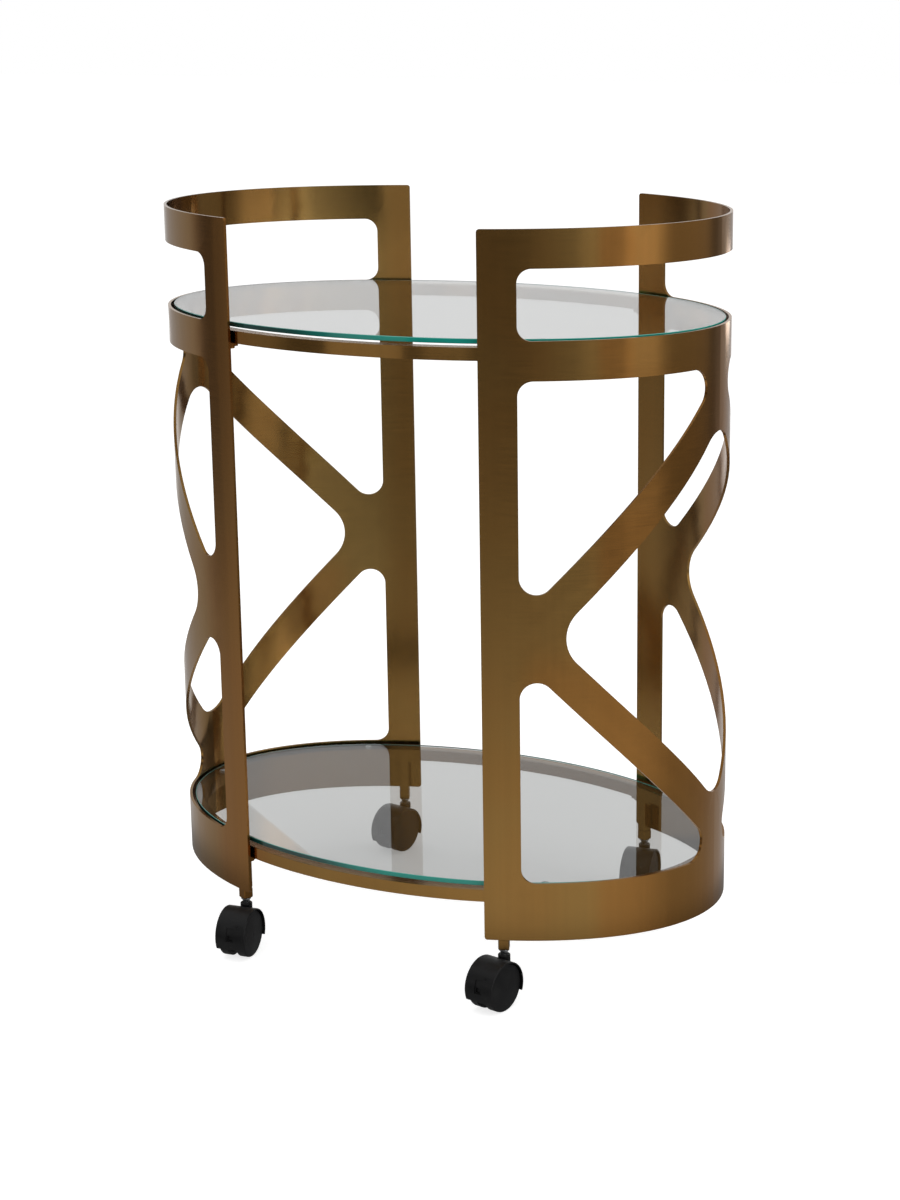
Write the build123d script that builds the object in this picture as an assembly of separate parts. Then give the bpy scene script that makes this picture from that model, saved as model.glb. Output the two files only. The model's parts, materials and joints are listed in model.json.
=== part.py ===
from build123d import *
import os
from math import cos, radians, sin, sqrt

# Oval bar cart: two rolled, laser-cut end panels, two ringed glass shelves and four twin-wheel casters.
# Millimetres, +Z up, X along the cart, the front at -Y, origin on the floor under the middle of its box.

# Plan of the cart
body_length = 620.0
body_width = 415.0
sheet = 3.0

# Heights, from the floor up
caster_height = 58.5
socket_drop = 12.0
bottom_band = 60.5
lattice_height = 505.0
middle_band = 38.0
window_height = 68.0
handle_band = 37.0

# Flat pattern of one end panel, along the sheet
panel_blank_length = 535.0
leg_width = 37.5
panel_corner_radius = 3.0
strut_width = 36.0
strut_root_half = 20.0
strut_tip_overlap = 2.5
window_radius = 14.0
diamond_side_radius = 36.0
diamond_tip_radius = 30.0
leg_corner_radius = 17.0
square_corner_radius = 15.0
tip_corner_radius = 20.0

# Rings of square bar, with the gap that keeps them off the panels
ring_gap = 3.0
ring_bar = 12.7

# Glass shelves and the clear bumpers that carry them
glass_thickness = 5.0
glass_end_gap = 2.0
glass_side_gap = 8.5
glass_edge_chamfer = 0.5
bumper_height = 2.8
bumper_radius = 4.0
bumper_rounding = 0.7
bumper_inset = 14.2
bumper_angles = (0, 50, 130, 180, 230, 310)
upper_glass_rise = 1.0
lower_glass_drop = 2.0

# Tabs that carry the rings, and their screws
tab_thickness = 4.0
tab_width = 30.0
tab_reach = 12.0
screw_spacing = 20.0
screw_inset = 4.0
screw_radius = 2.0
screw_fit = 0.1
screw_length = 9.0
tapping_depth = 1.0
screw_head_radius = 3.5
screw_head_height = 2.4
screw_head_rounding = 0.8
hex_across = 2.5
hex_depth = 1.4

# Caster sockets of square tube, welded flat against the curve of the sheet
socket_size = 11.0
socket_wall = 1.5
socket_seat = 0.045
socket_corner_radius = 1.2
socket_end_chamfer = 0.8
socket_groove_height = 1.6
socket_groove_depth = 0.7

# Caster stem, with a split grip ring in a groove near its tip
stem_fit = 0.05
stem_length = 26.0
stem_tip_chamfer = 1.0
grip_groove_depth = 1.0
grip_groove_height = 3.2
grip_groove_drop = 4.0
grip_ring_height = 3.0
grip_ring_fit = 0.02
grip_ring_slit = 1.5
flange_radius = 5.4
flange_height = 1.3
cone_height = 3.9
cone_top_radius = 4.4
cone_foot_radius = 3.5
pintle_radius = 3.0
pintle_length = 18.0

# Snap fits: a bead of the bore springs into a waist of the pintle or the axle
waist_depth = 0.4
waist_length = 1.6
bead_length = 1.0
pintle_waist_from_tip = 3.0
axle_waist_from_tip = 1.5

# Twin-wheel caster
wheel_radius = 25.0
caster_width = 34.0
wheel_gap = 10.5
trail = 17.0
rest_swivel_angles = {
    "front_left": 8.0,
    "front_right": -10.0,
    "rear_left": -9.0,
    "rear_right": 9.0,
}
wheel_edge_radius = 2.0
wheel_rim = 3.5
wheel_disc = 2.5
wheel_hub_radius = 6.0
wheel_crown = 1.2
hood_clearance = 0.6
hood_wall = 1.5
hood_side_clearance = 0.75
hood_lip = 0.9
hood_edge_rounding = 1.3
hood_front_angle = 23.0
hood_rear_angle = 21.0
neck_radius = 6.3
neck_rounding = 1.0
neck_gap = 0.5
pintle_end_gap = 0.5
latch_width = 8.5
latch_height = 14.0
latch_rise = 6.0
latch_depth = 0.8
catch_width = 5.5
catch_height = 5.5
catch_rise = 2.6
catch_depth = 2.4
ejector_mark_radius = 1.4
ejector_mark_depth = 0.5
ejector_mark_offset = 7.5
ejector_mark_rise = 15.0
axle_boss_radius = 6.5
axle_radius = 2.5
axle_press = 0.02
running_fit = 0.05
axle_end_gap = 0.4
hub_bore_into_disc = 0.5

# How far cutting tools reach past what they cut
overcut = 2.0

# Derived plan and heights
half_length = body_length / 2
half_width = body_width / 2
panel_foot = caster_height + socket_drop
lattice_foot = panel_foot + bottom_band
lattice_top = lattice_foot + lattice_height
window_foot = lattice_top + middle_band
window_top = window_foot + window_height
panel_top = window_top + handle_band
panel_half = panel_blank_length / 2
leg_inner = panel_half - leg_width
leg_centre = panel_half - leg_width / 2
lattice_middle = (lattice_foot + lattice_top) / 2
lattice_half = lattice_height / 2

upper_glass_top = window_foot + upper_glass_rise
lower_glass_top = lattice_foot - lower_glass_drop
ring_under_glass = glass_thickness + bumper_height
upper_ring_top = upper_glass_top - ring_under_glass
lower_ring_top = lower_glass_top - ring_under_glass

# Outer face of a panel, seen from above, from the rear round the end of the cart to the front
end_curve = Edge.make_ellipse(half_length, half_width, start_angle=-90, end_angle=90)


def sheet_point(along):
    """Point on the panel's outer face, this far along the sheet from its middle."""
    return end_curve.position_at(end_curve.length / 2 + along, PositionMode.LENGTH)


def sheet_normal(along):
    """Outward direction of the sheet there."""
    heading = end_curve.tangent_at(end_curve.length / 2 + along, PositionMode.LENGTH)
    return heading.cross(Vector(0, 0, 1)).normalized()


def oval(inset_x, inset_y):
    """Oval face, smaller than the cart's outline by these insets."""
    return Ellipse(half_length - inset_x, half_width - inset_y)


def oval_band(outer_inset, width):
    """Flat oval band that follows the cart's outline."""
    inner_inset = outer_inset + width
    return oval(outer_inset, outer_inset) - oval(inner_inset, inner_inset)


def sector(along_from, along_to, inward, outward):
    """Area between two lines square to the sheet, wide enough to trim a band between them."""
    corners = []
    for along, reach in (
        (along_from, -inward),
        (along_from, outward),
        ((along_from + along_to) / 2, outward),
        (along_to, outward),
        (along_to, -inward),
    ):
        corners.append(sheet_point(along) + sheet_normal(along) * reach)
    return make_face(Polyline(*corners, close=True))


def shadow(outline, facing, distance):
    """Outline of an opening, carried square to the sheet onto a plane that faces the opening."""
    steps = 8
    edges = []
    for edge in outline.order_edges():
        points = []
        for step in range(steps + 1):
            flat = edge.position_at(step / steps)
            normal = sheet_normal(flat.X)
            start = sheet_point(flat.X)
            travel = (distance - start.dot(facing)) / normal.dot(facing)
            points.append(start + normal * travel + Vector(0, 0, flat.Y))
        ends = edge.position_at(1) - edge.position_at(0)
        straight = edge.geom_type == GeomType.LINE and min(abs(ends.X), abs(ends.Y)) < 1e-6
        edges.append(Line(points[0], points[-1]) if straight else Spline(*points))
    return Wire([item.edge() for item in edges])


def sheet_cutter(flat_opening):
    """Solid that cuts a flat opening through the rolled sheet with walls square to the sheet.

    In the flat opening X runs along the sheet from the panel's middle and Y is the height.
    """
    box = flat_opening.bounding_box()
    facing = sheet_normal((box.min.X + box.max.X) / 2)
    heights = [sheet_point(along).dot(facing) for along in (box.min.X, box.center().X, box.max.X)]
    front = max(heights) + overcut
    back = min(heights) - sheet - overcut
    outline = flat_opening.face().outer_wire()
    return Solid.make_loft([shadow(outline, facing, back), shadow(outline, facing, front)], ruled=True)


def rounded(points, radii):
    """Flat polygon whose corners are rounded one by one."""
    flat = make_face(Polyline(*points, close=True))
    for point, radius in zip(points, radii):
        corner = flat.vertices().sort_by_distance(Vector(*point))[0]
        flat = fillet(corner, radius)
    return flat


def half_window(side):
    """Half of the opening under the handle band, a little past the panel's middle."""
    past_middle = 5.0
    points = [
        (-side * past_middle, window_foot),
        (side * leg_inner, window_foot),
        (side * leg_inner, window_top),
        (-side * past_middle, window_top),
    ]
    flat = make_face(Polyline(*points, close=True))
    for point in points[1:3]:
        corner = flat.vertices().sort_by_distance(Vector(*point))[0]
        flat = fillet(corner, window_radius)
    return flat


# Struts run from beside the leg to the middle of the band above and below
strut_run = leg_inner + strut_tip_overlap
strut_rise = lattice_half - strut_root_half
strut_slope = strut_rise / strut_run
strut_across = strut_width * sqrt(1 + strut_slope**2)
diamond_half_height = strut_root_half + strut_slope * leg_inner - strut_across
diamond_half_length = diamond_half_height / strut_slope


def half_diamond(side):
    """Half of the middle opening, a little past the panel's middle."""
    past_middle = 5.0
    tip = (0.0, lattice_middle + diamond_half_height)
    foot = (0.0, lattice_middle - diamond_half_height)
    whole = rounded(
        [tip, (diamond_half_length, lattice_middle), foot, (-diamond_half_length, lattice_middle)],
        [diamond_tip_radius, diamond_side_radius, diamond_tip_radius, diamond_side_radius],
    )
    centre = side * (half_length - past_middle)
    return whole & Pos(centre, lattice_middle) * Rectangle(2 * half_length, 2 * lattice_height)


def corner_opening(side, upward):
    """Three-sided opening between a leg, a strut and a band."""
    points = [
        (side * leg_inner, lattice_middle + upward * strut_root_half),
        (side * leg_inner, lattice_middle + upward * lattice_half),
        (-side * strut_tip_overlap, lattice_middle + upward * lattice_half),
    ]
    return rounded(points, [leg_corner_radius, square_corner_radius, tip_corner_radius])


def right_end_panel():
    """Rolled sheet with two legs, a handle band, two shelf bands and a lattice of struts."""
    plan = oval_band(0, sheet) & sector(-panel_half, panel_half, sheet + overcut, body_length)
    panel = Pos(0, 0, panel_foot) * extrude(plan, panel_top - panel_foot)
    end_edges = panel.edges().filter_by(lambda e: abs(e.length - sheet) < sheet / 10)
    panel = fillet(end_edges, panel_corner_radius)
    openings = [half_window(side) for side in (-1, 1)]
    openings += [half_diamond(side) for side in (-1, 1)]
    openings += [corner_opening(side, upward) for side in (-1, 1) for upward in (-1, 1)]
    for opening in openings:
        panel -= sheet_cutter(opening)
    return panel


def at_leg(along, inward, height):
    """Place beside a leg: X runs along the sheet, Y points outward and Z is up."""
    normal = sheet_normal(along)
    point = sheet_point(along) - normal * inward + Vector(0, 0, height)
    return Location(Plane(point, x_dir=Vector(0, 0, 1).cross(normal) * -1, z_dir=(0, 0, 1)))


# Each leg's place along the right panel, and the half turn that takes it to its own panel
legs = {
    "front_left": (leg_centre, 180),
    "front_right": (-leg_centre, 0),
    "rear_left": (-leg_centre, 180),
    "rear_right": (leg_centre, 0),
}


# All upright drums and bores stand on the height they are given
stand = (Align.CENTER, Align.CENTER, Align.MIN)


def upright(radius, height):
    """Cylinder that stands on height 0."""
    return Cylinder(radius, height, align=stand)


def screw_places(leg_along, ring_top):
    """Seats of one tab's screws, either side of the leg's centre line, under the tab."""
    inward = sheet + ring_gap + screw_inset
    height = ring_top - ring_bar - tab_thickness
    offsets = (-screw_spacing / 2, screw_spacing / 2)
    return [at_leg(leg_along + offset, inward, height) for offset in offsets]


def shelf_ring(ring_top):
    """Oval ring of square bar with a tapped hole over each screw."""
    band = oval_band(sheet + ring_gap, ring_bar)
    ring = Pos(0, 0, ring_top - ring_bar) * extrude(band, ring_bar)
    hole = upright(screw_radius + screw_fit, screw_length + tapping_depth)
    for leg_along, half_turn in legs.values():
        for place in screw_places(leg_along, ring_top):
            ring -= (place * hole).rotate(Axis.Z, half_turn)
    return ring


def ring_tab(leg_along, ring_top):
    """Flat tab welded to the inside of a leg, under the ring."""
    plan = oval_band(sheet, tab_reach) & sector(
        leg_along - tab_width / 2, leg_along + tab_width / 2, sheet + tab_reach + overcut, overcut
    )
    tab = Pos(0, 0, ring_top - ring_bar - tab_thickness) * extrude(plan, tab_thickness)
    for place in screw_places(leg_along, ring_top):
        tab -= place * upright(screw_radius + screw_fit, tab_thickness)
    return tab


def tab_screw():
    """Button-head socket screw, head down, its head's seat at height 0."""
    head = Pos(0, 0, -screw_head_height) * upright(screw_head_radius, screw_head_height)
    head = fillet(head.edges().group_by(Axis.Z)[0], screw_head_rounding)
    hexagon = RegularPolygon(hex_across / sqrt(3), 6)
    recess = Pos(0, 0, -screw_head_height) * extrude(hexagon, hex_depth)
    return upright(screw_radius, screw_length) + head - recess


def tab_screws(ring_top):
    """Both screws of each of the four tabs of a shelf."""
    screws = []
    for leg_along, half_turn in legs.values():
        for place in screw_places(leg_along, ring_top):
            screws.append((place * tab_screw()).rotate(Axis.Z, half_turn))
    return screws


def glass_shelf(glass_top):
    """Oval pane with a fine chamfer round both edges."""
    plan = oval(sheet + glass_end_gap, sheet + glass_side_gap)
    pane = Pos(0, 0, glass_top - glass_thickness) * extrude(plan, glass_thickness)
    return chamfer(pane.edges(), glass_edge_chamfer)


def glass_bumpers(ring_top):
    """Clear discs on the ring, under the edge of the glass, with a rounded upper edge."""
    disc = upright(bumper_radius, bumper_height)
    disc = fillet(disc.edges().group_by(Axis.Z)[-1], bumper_rounding)
    bumpers = []
    for angle in bumper_angles:
        x = (half_length - bumper_inset) * cos(radians(angle))
        y = (half_width - bumper_inset) * sin(radians(angle))
        bumpers.append(Pos(x, y, ring_top) * disc)
    return bumpers


# Middle of a socket and of the stem in it, inward from the outer face of the sheet
socket_inset = sheet + socket_seat + socket_size / 2


def caster_socket(leg_along):
    """Square tube up the inside of a leg to the tab, bevelled at its foot, grooved below the panel."""
    length = lower_ring_top - ring_bar - tab_thickness - caster_height
    bore = socket_size - 2 * socket_wall
    groove_floor = socket_size - 2 * socket_groove_depth
    section = RectangleRounded(socket_size, socket_size, socket_corner_radius)
    tube = extrude(section, length)
    tube = chamfer(tube.edges().group_by(Axis.Z)[0], socket_end_chamfer)
    groove = extrude(section - Rectangle(groove_floor, groove_floor), socket_groove_height)
    tube -= Pos(0, 0, socket_drop - socket_groove_height) * groove
    tube -= extrude(Rectangle(bore, bore), length)
    return at_leg(leg_along, socket_inset, caster_height) * tube


def waisted_rod(radius, length, waist_radius, waist_from, waist):
    """Upright rod from height 0, with a narrow waist that starts at this height."""
    ring = upright(radius + overcut, waist) - upright(waist_radius, waist)
    return upright(radius, length) - Pos(0, 0, waist_from) * ring


# The bead is as long as the waist less its play at either end
bead_play = (waist_length - bead_length) / 2
shank_radius = socket_size / 2 - socket_wall - stem_fit
flange_foot = caster_height - flange_height
cone_foot = flange_foot - cone_height
neck_top = cone_foot - neck_gap
grip_groove_top = caster_height + stem_length - grip_groove_drop


def caster_stem():
    """Turned stem: grooved shank in the socket, flange, cone and pintle in the hood's neck."""
    shank = Pos(0, 0, caster_height) * upright(shank_radius, stem_length)
    shank = chamfer(shank.edges().group_by(Axis.Z)[-1], stem_tip_chamfer)
    groove = upright(shank_radius, grip_groove_height) - upright(
        shank_radius - grip_groove_depth, grip_groove_height
    )
    shank -= Pos(0, 0, grip_groove_top - grip_groove_height) * groove
    flange = Pos(0, 0, flange_foot) * upright(flange_radius, flange_height)
    cone = Pos(0, 0, cone_foot) * Cone(cone_foot_radius, cone_top_radius, cone_height, align=stand)
    pintle = waisted_rod(
        pintle_radius, pintle_length, pintle_radius - waist_depth, pintle_waist_from_tip, waist_length
    )
    return shank + flange + cone + Pos(0, 0, cone_foot - pintle_length) * pintle


def caster_grip_ring():
    """Split spring ring in the groove of the shank."""
    inner_radius = shank_radius - grip_groove_depth + grip_ring_fit
    outer_radius = shank_radius + stem_fit - grip_ring_fit
    ring = upright(outer_radius, grip_ring_height) - upright(inner_radius, grip_ring_height)
    slit = Pos(outer_radius / 2, 0, grip_ring_height / 2) * Box(
        outer_radius, grip_ring_slit, grip_ring_height
    )
    height = grip_groove_top - (grip_groove_height + grip_ring_height) / 2
    return Pos(0, 0, height) * (ring - slit)


def across_axle(radius, from_x, to_x):
    """Drum round the axle between two distances from the caster's middle plane."""
    return Pos(from_x, -trail, wheel_radius) * Rot(0, 90, 0) * upright(radius, to_x - from_x)


axle_half = caster_width / 2 - hood_lip - wheel_disc + hub_bore_into_disc - axle_end_gap


def across_waisted(radius, waist_radius, waist_from_tip, waist):
    """Rod across the caster, as long as the axle, with a waist near either end."""
    half_rod = waisted_rod(radius, axle_half, waist_radius, axle_half - waist_from_tip - waist, waist)
    half_rod = Pos(0, -trail, wheel_radius) * Rot(0, 90, 0) * half_rod
    return half_rod + half_rod.mirror(Plane.YZ)


def caster_axle():
    """Steel pin through the hood's web, its waisted ends in the wheels' blind hubs."""
    return across_waisted(axle_radius, axle_radius - waist_depth, axle_waist_from_tip, waist_length)


def caster_hood():
    """Moulded hood: fender over both treads, web between the wheels, neck round the pintle."""
    half = caster_width / 2
    web_half = wheel_gap / 2 - hood_side_clearance
    well = wheel_radius + hood_clearance
    hood = across_axle(well + hood_wall, -half, half)
    hood = fillet(hood.edges().filter_by(GeomType.CIRCLE), hood_edge_rounding)
    neck = Pos(0, 0, wheel_radius) * upright(neck_radius, neck_top - wheel_radius)
    hood += fillet(neck.edges().group_by(Axis.Z)[-1], neck_rounding)
    hood -= across_axle(well, web_half, half)
    hood -= across_axle(well, -half, -web_half)
    hood -= hood_mouth(well + hood_wall)
    bore_depth = pintle_length - neck_gap + pintle_end_gap
    bore_radius = pintle_radius + running_fit
    bead_from = pintle_end_gap + pintle_waist_from_tip + bead_play
    bore = waisted_rod(bore_radius, bore_depth, bore_radius - waist_depth, bead_from, bead_length)
    hood -= Pos(0, 0, neck_top - bore_depth) * bore
    hood -= across_axle(axle_radius + axle_press, -web_half, web_half)
    hood -= front_recess(Rectangle(latch_width, latch_height), 0, latch_rise, latch_depth)
    hood -= front_recess(Rectangle(catch_width, catch_height), 0, catch_rise, catch_depth)
    return hood - front_recess(
        Circle(ejector_mark_radius), ejector_mark_offset, ejector_mark_rise, ejector_mark_depth
    )


def front_recess(outline, offset, rise, depth):
    """Recess of one depth in the curved front of the hood, this far above the axle."""
    fender_radius = wheel_radius + hood_clearance + hood_wall
    reach = fender_radius + overcut
    front = Plane((offset, -trail, wheel_radius + rise), x_dir=(1, 0, 0), z_dir=(0, -1, 0))
    block = extrude(front * outline, reach)
    return block - across_axle(fender_radius - depth, -caster_width, caster_width)


def hood_mouth(fender_radius):
    """Open underside of the hood, with the boss round the axle left standing."""
    reach = fender_radius + overcut
    front_drop = reach * sin(radians(hood_front_angle))
    rear_drop = reach * sin(radians(hood_rear_angle))
    front_run = reach * cos(radians(hood_front_angle))
    rear_run = reach * cos(radians(hood_rear_angle))
    outline = Polyline(
        (-trail - front_run, wheel_radius - front_drop),
        (-trail - axle_boss_radius, wheel_radius - axle_boss_radius),
        (-trail + axle_boss_radius, wheel_radius - axle_boss_radius),
        (-trail + rear_run, wheel_radius - rear_drop),
        (-trail + rear_run, -reach),
        (-trail - front_run, -reach),
        close=True,
    )
    return extrude(Plane.YZ * make_face(outline), caster_width, both=True)


def caster_wheel():
    """Moulded wheel on the +X side: tread, domed outer disc, hollow back with a blind hub."""
    inner = wheel_gap / 2
    outer = caster_width / 2 - hood_lip
    shoulder = outer - wheel_crown
    flat_radius = wheel_radius - wheel_edge_radius
    dome_radius = (flat_radius**2 + wheel_crown**2) / (2 * wheel_crown)
    outline = [
        Line((0, inner), (wheel_radius, inner)),
        Line((wheel_radius, inner), (wheel_radius, shoulder - wheel_edge_radius)),
        RadiusArc((wheel_radius, shoulder - wheel_edge_radius), (flat_radius, shoulder), -wheel_edge_radius),
        RadiusArc((flat_radius, shoulder), (0, outer), -dome_radius),
        Line((0, outer), (0, inner)),
    ]
    wheel = revolve(Plane.XZ * make_face(Wire([item.edge() for item in outline])), Axis.Z)
    hollow_depth = outer - wheel_disc - inner
    hollow = upright(wheel_radius - wheel_rim, hollow_depth) - upright(wheel_hub_radius, hollow_depth)
    wheel -= Pos(0, 0, inner) * hollow
    wheel = Pos(0, -trail, wheel_radius) * Rot(0, 90, 0) * wheel
    bore_radius = axle_radius + running_fit
    bead_from_tip = axle_waist_from_tip + bead_play
    wheel -= across_waisted(bore_radius, bore_radius - waist_depth, bead_from_tip, bead_length)
    return wheel - across_axle(bore_radius, axle_half, axle_half + axle_end_gap)


def caster_pieces(corner, leg_along, half_turn):
    """Pieces of one caster, set at its leg and turned to its swivel angle at rest."""
    wheel = caster_wheel()
    upright_pieces = {
        "stem": caster_stem(),
        "grip_ring": caster_grip_ring(),
    }
    swivelling_pieces = {
        "hood": caster_hood(),
        "axle": caster_axle(),
        "right_wheel": wheel,
        "left_wheel": wheel.mirror(Plane.YZ),
    }
    foot = (sheet_point(leg_along) - sheet_normal(leg_along) * socket_inset).rotate(Axis.Z, half_turn)
    at_foot = Pos(foot.X, foot.Y)
    turned = at_foot * Rot(0, 0, rest_swivel_angles[corner])
    pieces = {f"{corner}_caster_{name}": at_foot * piece for name, piece in upright_pieces.items()}
    pieces |= {f"{corner}_caster_{name}": turned * piece for name, piece in swivelling_pieces.items()}
    return pieces


def build():
    """All nodes of the cart, by name."""
    panel = right_end_panel()
    nodes = {"right_end_panel": panel, "left_end_panel": panel.rotate(Axis.Z, 180)}
    for shelf, glass_top, ring_top in (
        ("upper", upper_glass_top, upper_ring_top),
        ("lower", lower_glass_top, lower_ring_top),
    ):
        nodes[f"{shelf}_shelf_ring"] = shelf_ring(ring_top)
        nodes[f"{shelf}_glass_shelf"] = glass_shelf(glass_top)
        nodes[f"{shelf}_glass_bumpers"] = Compound(glass_bumpers(ring_top))
        nodes[f"{shelf}_tab_screws"] = Compound(tab_screws(ring_top))
        for corner, (leg_along, half_turn) in legs.items():
            nodes[f"{corner}_{shelf}_tab"] = ring_tab(leg_along, ring_top).rotate(Axis.Z, half_turn)
    for corner, (leg_along, half_turn) in legs.items():
        nodes[f"{corner}_caster_socket"] = caster_socket(leg_along).rotate(Axis.Z, half_turn)
        nodes.update(caster_pieces(corner, leg_along, half_turn))
    return nodes


def centred(nodes):
    """The same nodes, moved so that the middle of the cart's box, casters included, is over the origin."""
    box = Compound(list(nodes.values())).bounding_box()
    to_middle = Pos(0, -box.center().Y)
    return {name: to_middle * node for name, node in nodes.items()}


os.makedirs("parts", exist_ok=True)
for name, node in centred(build()).items():
    export_step(node, f"parts/{name}.step")
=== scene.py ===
# %% [markdown]
# # An oval bar cart in brushed antique brass
# This notebook dresses a finished engineering model. The model brings every real piece of the cart: two rolled
# end panels with a lattice cut into them, two glass shelves on rings of square bar, and four twin-wheel casters.
# What is left to do is what an eye looks for in a picture: finishes, the small traces of making, light and a camera.

# %% Load the model
import json
from math import cos, pi, radians, sin

import bpy
from mathutils import Matrix, Vector


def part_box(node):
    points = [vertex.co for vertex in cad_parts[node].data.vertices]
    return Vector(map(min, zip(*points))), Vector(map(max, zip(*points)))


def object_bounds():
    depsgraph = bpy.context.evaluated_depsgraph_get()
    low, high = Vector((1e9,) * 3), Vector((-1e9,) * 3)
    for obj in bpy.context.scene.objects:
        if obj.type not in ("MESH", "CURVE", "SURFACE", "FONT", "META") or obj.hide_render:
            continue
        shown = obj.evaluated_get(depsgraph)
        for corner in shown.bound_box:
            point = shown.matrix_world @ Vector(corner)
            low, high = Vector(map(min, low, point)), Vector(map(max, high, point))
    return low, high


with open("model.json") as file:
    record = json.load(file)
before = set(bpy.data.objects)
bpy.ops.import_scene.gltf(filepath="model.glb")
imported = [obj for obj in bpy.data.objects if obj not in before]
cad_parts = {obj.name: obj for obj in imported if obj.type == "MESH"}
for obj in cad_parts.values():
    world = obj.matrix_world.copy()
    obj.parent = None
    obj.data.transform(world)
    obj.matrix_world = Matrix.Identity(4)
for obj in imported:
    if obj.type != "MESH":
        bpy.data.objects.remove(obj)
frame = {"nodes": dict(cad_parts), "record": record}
cad_box = [list(corner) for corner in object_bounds()]
nodes = frame["nodes"]
size = [high - low for low, high in zip(*cad_box)]
print("pieces:", len(nodes), "size in metres:", [round(value, 3) for value in size])

# %% [markdown]
# ## Shader sums in plain Python
# A finish is a network of small nodes. Wired one by one, even `1 - mask * 0.5` takes many lines. The class below
# wraps the output of a node, so that a sum written in Python adds its own nodes. Values use Math nodes. Colours and
# vectors use Vector Math, because a Math node would turn a colour grey.


# %% A wire that can be added and multiplied
class Wire:
    """The output of a shader node, used in ordinary sums."""

    def __init__(self, network, socket):
        self.network = network
        self.socket = socket

    def sum(self, operation, first, second):
        wires = [part for part in (first, second) if isinstance(part, Wire)]
        flat = all(part.socket.type == "VALUE" for part in wires)
        kind = "ShaderNodeMath" if flat else "ShaderNodeVectorMath"
        if not flat:
            first, second = (self.spread(part) for part in (first, second))
        return self.network.node(kind, {"operation": operation}, {0: first, 1: second})

    def spread(self, part):
        """A plain number beside a vector stands for three of itself."""
        return (part, part, part) if isinstance(part, (int, float)) else part

    def __add__(self, other):
        return self.sum("ADD", self, other)

    __radd__ = __add__

    def __sub__(self, other):
        return self.sum("SUBTRACT", self, other)

    def __rsub__(self, other):
        return self.sum("SUBTRACT", other, self)

    def __mul__(self, other):
        return self.sum("MULTIPLY", self, other)

    __rmul__ = __mul__

    def __truediv__(self, other):
        return self.sum("DIVIDE", self, other)


# %% [markdown]
# ## One way to add a node
# Every other node comes from one method. It takes the type, the settings, which are set first because some change
# the sockets, and then a value or a wire for each socket. A few shorthands keep the finishes readable: `noise`,
# `between` for a soft step, and `blend` for two colours.


# %% A network of nodes
mix_colour_a, mix_colour_b, mix_colour_result = 6, 7, 2  # the Mix node keeps its colour sockets at these places


class Network:
    """The node tree of a material or of the world."""

    def __init__(self, tree):
        self.tree = tree
        tree.nodes.clear()

    def node(self, kind, settings=None, sockets=None, output=0):
        made = self.tree.nodes.new(kind)
        for name, value in (settings or {}).items():
            setattr(made, name, value)
        for name, value in (sockets or {}).items():
            if isinstance(value, Wire):
                self.tree.links.new(value.socket, made.inputs[name])
            else:
                made.inputs[name].default_value = value
        return Wire(self, made.outputs[output])

    def place(self, output="Object"):
        """Where a point is, in the cart's own metres, or which way its surface faces."""
        return self.node("ShaderNodeTexCoord", output=output)

    def noise(self, where, scale, detail=2.0, roughness=0.5):
        sockets = {"Vector": where, "Scale": scale, "Detail": detail, "Roughness": roughness}
        return self.node("ShaderNodeTexNoise", {"noise_dimensions": "3D"}, sockets)

    def between(self, value, low, high, to_low=0.0, to_high=1.0):
        sockets = {"Value": value, "From Min": low, "From Max": high, "To Min": to_low, "To Max": to_high}
        return self.node("ShaderNodeMapRange", {"interpolation_type": "SMOOTHSTEP"}, sockets)

    def blend(self, share, first, second):
        """The first colour where share is 0, the second where it is 1."""
        first, second = (part if isinstance(part, Wire) else (*part, 1.0) for part in (first, second))
        sockets = {0: share, mix_colour_a: first, mix_colour_b: second}
        return self.node("ShaderNodeMix", {"data_type": "RGBA"}, sockets, output=mix_colour_result)

    def axis(self, vector, name):
        return self.node("ShaderNodeSeparateXYZ", sockets={"Vector": vector}, output=name)

    def ray(self, name):
        """1 for rays of this kind, such as Is Camera Ray, and 0 for the others."""
        return self.node("ShaderNodeLightPath", output=name)

    def bump(self, height, distance, strength=1.0):
        sockets = {"Height": height, "Distance": distance, "Strength": strength}
        return self.node("ShaderNodeBump", sockets=sockets)

    def principled(self, **sockets):
        named = {name.replace("_", " ").title(): value for name, value in sockets.items()}
        named = {name.replace("Ior", "IOR"): value for name, value in named.items()}
        for name, value in named.items():
            if isinstance(value, tuple) and len(value) == 3 and "Color" in name:
                named[name] = (*value, 1.0)
        return self.node("ShaderNodeBsdfPrincipled", sockets=named)

    def mixed(self, share, first, second):
        return self.node("ShaderNodeMixShader", sockets={0: share, 1: first, 2: second})

    def finish(self, surface, kind="ShaderNodeOutputMaterial"):
        made = self.tree.nodes.new(kind)
        self.tree.links.new(surface.socket, made.inputs["Surface"])


def new_material(name):
    material = bpy.data.materials.new(name)
    material.use_nodes = True
    return material, Network(material.node_tree)


print("the network helper is ready")

# %% [markdown]
# ## The camera
# The photograph was taken from the right front, a little above the handles. A camera is placed by where it stands and
# where it looks, so it is written as an azimuth, an elevation and a distance from a target inside the cart. The long
# lens keeps the legs nearly parallel. The slight roll is the photographer's.

# %% Camera
photo_height = 1200
focal_length_pixels = 2444.4
sensor = 36.0
camera_azimuth = radians(28.996)
camera_elevation = radians(14.84)
camera_roll = radians(-0.91)
camera_distance = 2.596
shelf_middle = sum(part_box("upper_glass_shelf"), Vector()) / 2
camera_target = Vector((0.00457, shelf_middle.y, 0.36295))

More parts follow.
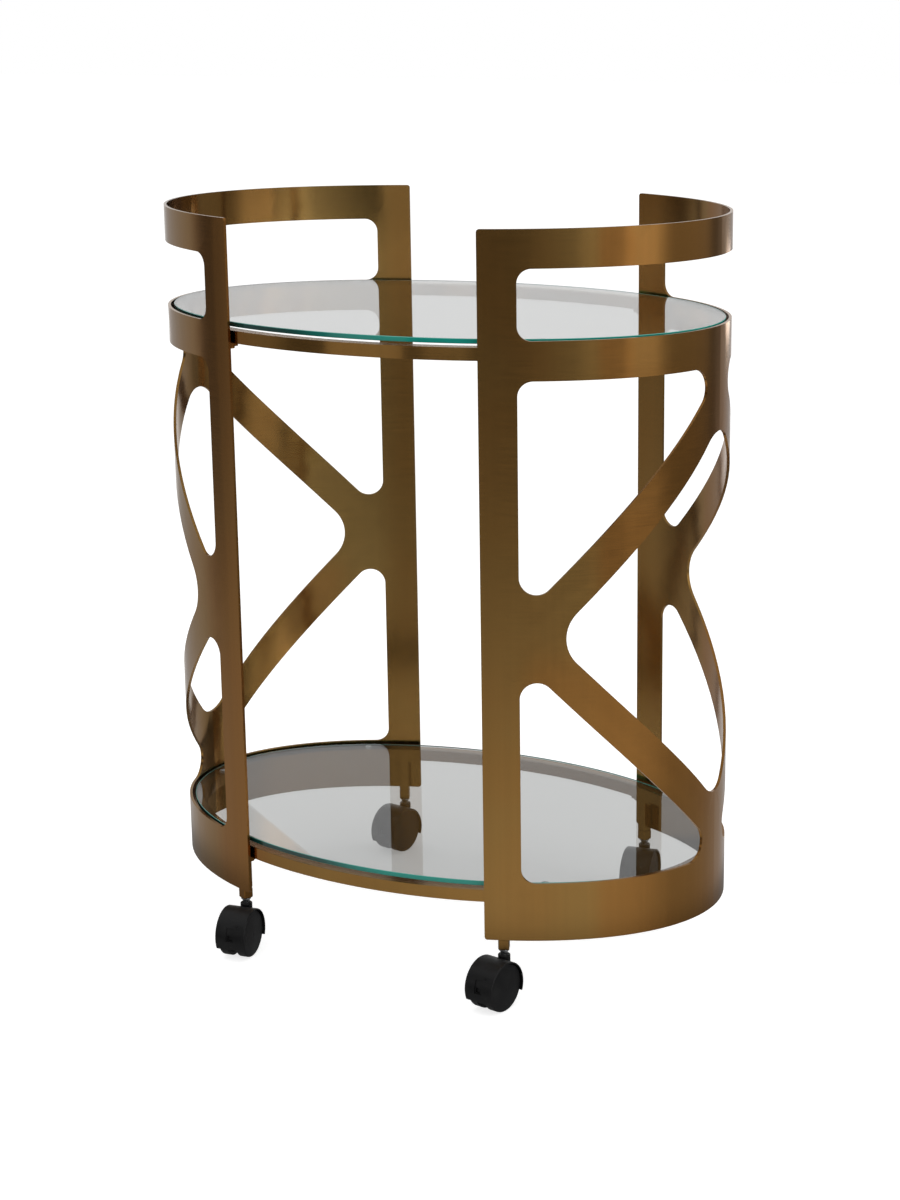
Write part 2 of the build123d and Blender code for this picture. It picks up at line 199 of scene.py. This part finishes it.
to_camera = Vector(
    (
        sin(camera_azimuth) * cos(camera_elevation),
        -cos(camera_azimuth) * cos(camera_elevation),
        sin(camera_elevation),
    )
)
level_right = Vector((0, 0, 1)).cross(to_camera).normalized()
level_up = to_camera.cross(level_right)
camera_right = level_right * cos(camera_roll) + level_up * sin(camera_roll)
camera_up = level_up * cos(camera_roll) - level_right * sin(camera_roll)

lens = bpy.data.cameras.new("photo_camera")
lens.sensor_width = sensor
lens.sensor_fit = "AUTO"
lens.lens = focal_length_pixels * sensor / photo_height
camera = bpy.data.objects.new("photo_camera", lens)
bpy.context.scene.collection.objects.link(camera)
turn = Matrix((camera_right, camera_up, to_camera)).transposed()
camera.matrix_world = Matrix.LocRotScale(camera_target + to_camera * camera_distance, turn, None)
bpy.context.scene.camera = camera
print("lens", round(lens.lens, 2), "mm, camera at", [round(value, 3) for value in camera.location])

# %% [markdown]
# ## Antique brass
# The steel is brushed along its length, plated, darkened and lacquered. Brushing leaves hairlines that run along the
# sheet, so a reflection spreads a little more up and down than sideways. That is anisotropy, turned a quarter so that
# it smears across the lines. The lines themselves are a noise squeezed in height, finer than the camera can count.
# Rolling the sheet to its curve adds faint upright waves and streaks, and a slow cloud lets the colour wander between
# an olive and a redder brown, as a hand-toned patina does. It is reddest where the right end bends and on the front
# left leg, most olive just before the bend, and redder and a little lighter on the strap that falls towards that bend,
# where the lighter part is painted light. The straps of the rear left are painted paler and warmer, as painted
# highlights, and the left handle is painted darker, as painted shade. Where parts meet, the colour is darkened by
# occlusion, as painted shade. Under other light, tone these painted lights and shades down first.

# %% Antique brass finish
patina_olive = (0.325, 0.180, 0.050)
patina_green = (0.325, 0.195, 0.056)
patina_red = (0.345, 0.155, 0.036)
# Pale and warm are painted highlights, copper is a redder patina also lightened as painted light, deep is painted
# shade.
painted_highlight_pale = (0.420, 0.256, 0.079)
copper_patina_and_highlight = (0.390, 0.178, 0.042)
painted_highlight_warm = (0.440, 0.235, 0.068)
painted_shade_deep = (0.215, 0.112, 0.029)
red_rise, red_ease, red_ease_low = (0.228, 0.251), (0.262, 0.270), (0.60, 0.66)
copper_rise, copper_low, copper_high = (0.165, 0.200), (0.185, 0.245), (0.330, 0.390)
green_rise, green_fall = (0.190, 0.222), (0.236, 0.246)
leg_rise, leg_fall = (0.10, 0.13), (0.175, 0.205)
shoulder_rise, shoulder_fall, shoulder_low = (0.15, 0.19), (0.25, 0.28), (0.20, 0.35)
warm_rise, warm_fall, warm_low, warm_high = (0.20, 0.23), (0.262, 0.280), (0.21, 0.25), (0.33, 0.37)
deep_rise, deep_low = (0.253, 0.275), (0.70, 0.74)
bend_red, bend_ease, leg_red, upper_red, cloud_red = 0.65, 0.35, 0.7, 0.2, 0.25
green_share, green_upper_share, copper_share, deep_share = 0.25, 0.35, 0.8, 0.85
upper_range, rear_range, front_range = (0.35, 0.75), (0.02, 0.08), (-0.02, 0.02)
cloud_scale = 9.0
hairline_squeeze = (40.0, 40.0, 2600.0)
rolling_squeeze = (70.0, 70.0, 1.5)
rolling_depth = 0.00004
streak_squeeze = (190.0, 190.0, 1.0)
seam_reach = 0.008
seam_shade_darkest = 0.55


def patina_and_painted_light(network, where):
    """The patina's colour with painted light and shade, by where on the cart a point is."""
    along, depth, rise = (network.axis(where, name) for name in "XYZ")
    leftward, forward = 0 - along, 0 - depth
    rear = network.between(depth, *rear_range)
    cloud = network.between(network.noise(where, cloud_scale, detail=3.0), 0.35, 0.65)
    upper = network.between(rise, *upper_range)

    easing = network.between(along, *red_ease) * network.between(rise, *red_ease_low)
    bend = network.between(along, *red_rise) * bend_red - easing * bend_ease
    leg = network.between(leftward, *leg_rise) - network.between(leftward, *leg_fall)
    leg = leg * network.between(forward, *leg_rise) * leg_red
    reddening = cloud * cloud_red + bend + leg + upper * upper_red
    colour = network.blend(network.node("ShaderNodeClamp", sockets={0: reddening}), patina_olive, patina_red)

    before_bend = network.between(along, *green_rise) - network.between(along, *green_fall)
    colour = network.blend(before_bend * (upper * green_upper_share + green_share), colour, patina_green)

    # Painted highlight: the straps of the rear left are paler.
    shoulder = network.between(leftward, *shoulder_rise) - network.between(leftward, *shoulder_fall)
    shoulder = shoulder * network.between(rise, *shoulder_low) * rear
    colour = network.blend(shoulder, colour, painted_highlight_pale)

    # Painted highlight: a warmer, lighter patch low on the rear left.
    warm = network.between(leftward, *warm_rise) - network.between(leftward, *warm_fall)
    warm = warm * (network.between(rise, *warm_low) - network.between(rise, *warm_high)) * rear
    colour = network.blend(warm, colour, painted_highlight_warm)

    # Redder patina on the strap that falls to the right bend, lightened there as painted light.
    copper = network.between(rise, *copper_low) - network.between(rise, *copper_high)
    copper = copper * network.between(along, *copper_rise) * network.between(forward, *front_range)
    colour = network.blend(copper * copper_share, colour, copper_patina_and_highlight)

    # Painted shade: the left handle is darkened.
    deep = network.between(leftward, *deep_rise) * network.between(rise, *deep_low)
    return network.blend(deep * deep_share, colour, painted_shade_deep)


def antique_brass():
    material, network = new_material("antique_brass")
    where = network.place()
    lines = network.between(network.noise(where * hairline_squeeze, 1.0, detail=1.0), 0.3, 0.7)
    rolling = network.noise(where * rolling_squeeze, 1.0, detail=2.0)
    streaks = network.between(network.noise(where * streak_squeeze, 1.0, detail=3.0), 0.35, 0.65)
    # Painted shade: occlusion darkens the colour where parts meet.
    open_air = network.node("ShaderNodeAmbientOcclusion", {"samples": 4}, {"Distance": seam_reach}, output="AO")
    painted_seam_shade = network.between(open_air, 0.25, 0.8, seam_shade_darkest, 1.0)
    surface = network.principled(
        base_color=patina_and_painted_light(network, where) * (lines * 0.04 + streaks * 0.035 + 0.96) * painted_seam_shade,
        metallic=1.0,
        roughness=lines * 0.03 + 0.165,
        anisotropic=0.8,
        anisotropic_rotation=0.25,
        coat_weight=0.12,
        coat_roughness=0.2,
        normal=network.bump(rolling, rolling_depth),
    )
    network.finish(surface)
    return material


brass = antique_brass()
print("antique brass:", len(brass.node_tree.nodes), "nodes")

# %% [markdown]
# ## Clear glass with green edges
# Float glass is clear face on and deep green edgeways, because light that leaves the edge has crossed a long way of
# it. Tracing that path takes many bounces, so the edge gets its own colour, picked by which way the surface faces.
# On the right half of each pane that colour is a bright teal, as painted light, and on the left half a dark green, as
# painted shade, and the bevels carry a pale painted highlight. Lamps shine through the faces, as they do in life, by
# letting shadow rays pass.

# %% Glass finish
glass_tint = (0.965, 0.982, 0.976)
edge_painted_shade = (0.006, 0.050, 0.042)
edge_painted_light = (0.004, 0.300, 0.235)
bevel_painted_highlight = (0.160, 0.480, 0.420)
edge_turn = (-0.08, 0.05)


def clear_glass():
    material, network = new_material("clear_glass")
    where = network.place()
    upright = network.axis(network.place("Normal"), "Z")
    flatness = upright * upright
    on_edge = network.between(flatness, 0.70, 0.90, 1.0, 0.0)
    on_bevel = network.between(flatness, 0.15, 0.40)
    wander = network.noise(where, 9.0, detail=2.0) * 0.08 - 0.04
    # Painted light and shade: the edge is bright on the right half and dark on the left half.
    lit_side = network.between(network.axis(where, "X") + wander, *edge_turn)
    edge_colour = network.blend(lit_side, edge_painted_shade, edge_painted_light)
    # Painted highlight: the bevels are paler.
    edge_colour = network.blend(on_bevel * 0.7, edge_colour, bevel_painted_highlight)
    pane = network.principled(base_color=glass_tint, roughness=0.0, ior=1.52, transmission_weight=1.0)
    edge = network.principled(base_color=edge_colour, roughness=0.12, ior=1.52)
    solid = network.mixed(on_edge, pane, edge)
    open_to_lamps = network.node("ShaderNodeBsdfTransparent")
    network.finish(network.mixed(network.ray("Is Shadow Ray"), solid, open_to_lamps))
    return material


glass = clear_glass()
print("glass:", len(glass.node_tree.nodes), "nodes")

# %% [markdown]
# ## Bumpers, zinc and black nylon
# The bumpers are soft clear plastic, a little cloudy. Bright zinc plating is a pale metal with a fine speckle. The
# casters are moulded in black nylon from a tool with a fine spark texture, which breaks the highlights up.

# %% Small finishes
def clear_bumper():
    material, network = new_material("clear_bumper")
    cloud = network.noise(network.place(), 400.0)
    surface = network.principled(
        base_color=(0.90, 0.92, 0.91),
        roughness=network.between(cloud, 0.3, 0.7, 0.12, 0.25),
        ior=1.47,
        transmission_weight=0.85,
    )
    network.finish(surface)
    return material


def zinc():
    material, network = new_material("zinc_plating")
    speckle = network.noise(network.place(), 900.0, detail=3.0)
    colour = network.blend(speckle, (0.42, 0.44, 0.46), (0.62, 0.63, 0.63))
    surface = network.principled(
        base_color=colour,
        metallic=1.0,
        roughness=network.between(speckle, 0.3, 0.7, 0.25, 0.4),
    )
    network.finish(surface)
    return material


def black_nylon():
    material, network = new_material("black_nylon")
    grain = network.noise(network.place(), 1500.0, detail=2.0)
    scuff = network.noise(network.place(), 60.0, detail=4.0)
    colour = network.blend(network.between(scuff, 0.4, 0.8), (0.006, 0.006, 0.0064), (0.012, 0.012, 0.012))
    surface = network.principled(
        base_color=colour,
        roughness=network.between(scuff, 0.3, 0.7, 0.36, 0.48),
        ior=1.38,
        normal=network.bump(grain, 0.00008, 0.5),
    )
    network.finish(surface)
    return material


finishes = {
    "antique_brass": brass,
    "clear_glass": glass,
    "clear_bumper": clear_bumper(),
    "zinc_plated_steel": zinc(),
    "black_nylon": black_nylon(),
}
print("finishes:", ", ".join(finishes))

# %% [markdown]
# ## Give every piece its finish
# The record names a material slot for each piece, so the finishes follow it. Only the slots change: the meshes and
# their places stay as the engineering model has them.

# %% Assign the finishes
for part in frame["record"]["subparts"]:
    piece = nodes[part["node"]]
    piece.data.materials.clear()
    piece.data.materials.append(finishes[part["material_slot"]])

# %% [markdown]
# ## The studio floor and the white surround
# The cart stands on a pale floor in front of nothing. The camera sees both as white, with only the cart's own soft
# shadow left. What the brass mirrors is another matter: a floor that is bright near the cart, a dim gap above it, and
# then a room with panels of light. Rays that have been mirrored pass through the floor and read all of that from the
# surround, by bearing and by height. Under the cart they are dimmed on the way, as the floor is in shade there.
# This surround is a set that was fitted to one picture, not a real room, so other views show other bands of light.

# %% Floor
floor_reach = 16.0
paper_grey = 0.60
camera_lift = 0.76
glass_lift = 0.36
shade_grey_through_glass = 0.33
footprint = (0.45, 0.35, 1.0)
footprint_shade = 0.40


def floor_material():
    material, network = new_material("studio_floor")
    # Painted shade: seen through the glass, the floor is a darker grey, standing in for the shade under the cart.
    grey = network.ray("Is Transmission Ray") * (shade_grey_through_glass - paper_grey) + paper_grey
    paper = network.node("ShaderNodeBsdfDiffuse", sockets={"Color": grey})
    lift = network.ray("Is Camera Ray") * camera_lift + network.ray("Is Transmission Ray") * glass_lift
    white = network.node("ShaderNodeEmission", sockets={"Color": (1, 1, 1, 1), "Strength": lift})
    lit = network.node("ShaderNodeAddShader", sockets={0: paper, 1: white})
    where = network.place()
    reach = network.node("ShaderNodeVectorMath", {"operation": "LENGTH"}, {0: where / footprint}, output="Value")
    shade = network.between(reach, 0.95, 1.2, footprint_shade, 1.0)
    open_to_room = network.node("ShaderNodeBsdfTransparent", sockets={"Color": shade})
    mirrored = network.ray("Is Glossy Ray") * (1 - network.ray("Is Transmission Ray"))
    network.finish(network.mixed(mirrored, lit, open_to_room))
    return material


def plane(name, reach):
    mesh = bpy.data.meshes.new(name)
    corners = [(-reach, -reach, 0), (reach, -reach, 0), (reach, reach, 0), (-reach, reach, 0)]
    mesh.from_pydata(corners, [], [(0, 1, 2, 3)])
    piece = bpy.data.objects.new(name, mesh)
    bpy.context.scene.collection.objects.link(piece)
    return piece


floor = plane("studio_floor", floor_reach)
floor.data.materials.append(floor_material())
print("floor", 2 * floor_reach, "m wide")

# %% World
ambient = 0.60
room_dark = 0.092
ceiling = 0.60

world = bpy.data.worlds.new("studio")
world.use_nodes = True
bpy.context.scene.world = world
sky = Network(world.node_tree)
direction = sky.place("Generated")
height = sky.axis(direction, "Z")
ahead = 0 - sky.axis(direction, "Y")
bearing = sky.node("ShaderNodeMath", {"operation": "ARCTAN2"}, {0: sky.axis(direction, "X"), 1: ahead})
bearing = bearing * (180 / pi)


def window(rise, fall):
    """1 between two bearings, with soft sides that start and end at the bearings given."""
    return sky.between(bearing, *rise) - sky.between(bearing, *fall)


floor_glow = window((-25, 10), (52, 112)) * 0.42 + window((-70, -40), (-25, 10)) * 0.26 + 0.48
on_floor = sky.between(height, -0.34, -0.25, 1.0, 0.0)
panels = {
    "front_wall": {"rise": (18, 44), "fall": (60, 90), "brightness": 0.30, "foot": (-0.165, -0.10)},
    "side_wall": {"rise": (60, 90), "fall": (128, 150), "brightness": 0.35, "foot": (-0.20, -0.10)},
    "fill_panel": {"rise": (42, 50), "fall": (80, 100), "brightness": 0.37, "foot": (-0.18, -0.10)},
    "key_panel": {"rise": (65, 69), "fall": (82, 99), "brightness": 0.60, "foot": (-0.19, -0.10)},
    "left_panel": {"rise": (-178, -150), "fall": (-95, -83), "brightness": 0.34},
    "left_fill": {"rise": (-81, -69), "fall": (-56, -46), "brightness": 0.18},
}
left_skirt = window((-95, -86), (-66, -50)) * sky.between(height, -0.28, -0.21, 0.36, 0.0)
back_wall = (sky.between(bearing, 140, 170) + sky.between(bearing, -178, -150, 1.0, 0.0)) * 0.32
rear_glow = window((-176, -160), (-140, -124)) * sky.between(height, 0.16, 0.32, 0.34, 0.08)
front_glow = window((-100, -84), (62, 80)) * 0.35
front_glow = front_glow * (sky.between(height, 0.04, 0.10) - sky.between(height, 0.22, 0.30))
room = left_skirt + back_wall + rear_glow + front_glow + room_dark
for panel in panels.values():
    light_panel = window(panel["rise"], panel["fall"]) * panel["brightness"]
    if "foot" in panel:
        light_panel = light_panel * sky.between(height, *panel["foot"])
    room = room + light_panel
above = sky.between(height, 0.5, 0.8)
room = room + (ceiling - room) * above
mirrored = room + (floor_glow - room) * on_floor

is_camera = sky.ray("Is Camera Ray")
is_mirrored = sky.ray("Is Glossy Ray")
strength = is_camera + is_mirrored * mirrored + (1 - is_camera - is_mirrored) * ambient
backdrop = sky.node("ShaderNodeBackground", sockets={"Color": (1, 1, 1, 1), "Strength": strength})
sky.finish(backdrop, "ShaderNodeOutputWorld")
print("the surround is white to the camera")

# %% [markdown]
# ## Soft lamps
# Large, even panels of light shape the casters and lay the shadow. The brass already mirrors the panels of the
# surround, so these lamps are hidden from mirrored rays. Three small cards do the opposite: they only serve as
# something to mirror. They stand so close that each is seen by one part of the brass and missed by the next: one by
# the left handle above its rear leg, one by the front of the upper ring, and one by the inside of the front right leg,
# which the left handle mirrors in turn. Each is written by where it stands, how large it is and how bright it looks:
# its power is brightness times area times pi.

# %% Lamps
lamps = {
    "right_softbox": {"azimuth": 77, "distance": 1.5, "height": (0.36, 1.60), "width": 0.56, "brightness": 1.0},
    "right_front_softbox": {"azimuth": 50, "distance": 2.1, "height": (0.20, 1.8), "width": 0.95, "brightness": 0.42},
    "left_softbox": {"azimuth": -112, "distance": 1.7, "height": (0.15, 1.5), "width": 1.0, "brightness": 0.42},
}
cards = {
    "high_card": {"azimuth": 4.6, "distance": 1.2, "height": (0.56, 0.80), "width": 0.29, "brightness": 0.60},
    "front_card": {"azimuth": -20, "distance": 1.28, "height": (0.40, 0.62), "width": 0.52, "brightness": 0.49},
    "rear_card": {"azimuth": 156.5, "distance": 0.9, "height": (0.54, 0.645), "width": 0.20, "brightness": 2.4},
}


def area_lamp(name, width, length, brightness, mirrored=False):
    """A rectangle of light, hidden from the camera. It works by being mirrored, or else in every other way."""
    light = bpy.data.lights.new(name, "AREA")
    light.shape = "RECTANGLE"
    light.size = width
    light.size_y = length
    light.energy = brightness * pi * width * length
    lamp = bpy.data.objects.new(name, light)
    bpy.context.scene.collection.objects.link(lamp)
    lamp.visible_camera = False
    lamp.visible_transmission = False
    lamp.visible_glossy = mirrored
    lamp.visible_diffuse = not mirrored
    return lamp


def upright_lamp(name, azimuth, distance, height, width, brightness, mirrored=False):
    low, high = height
    bearing = radians(azimuth)
    level = Vector((sin(bearing) * distance, -cos(bearing) * distance, 0))
    lamp = area_lamp(name, width, high - low, brightness, mirrored)
    lamp.location = level + Vector((0, shelf_middle.y, (low + high) / 2))
    lamp.rotation_euler = level.to_track_quat("Z", "Y").to_euler()


for name, settings in lamps.items():
    upright_lamp(name, **settings)
for name, settings in cards.items():
    upright_lamp(name, **settings, mirrored=True)

overhead_width = 2.4
overhead_brightness = 1.3
overhead = area_lamp("overhead_softbox", overhead_width, overhead_width, overhead_brightness)
overhead.location = (0.3, -0.4, 2.6)
print("lamps:", len(lamps) + 1, "cards:", len(cards))

# %% Render settings that belong to the look
bpy.context.scene.view_settings.view_transform = "Standard"
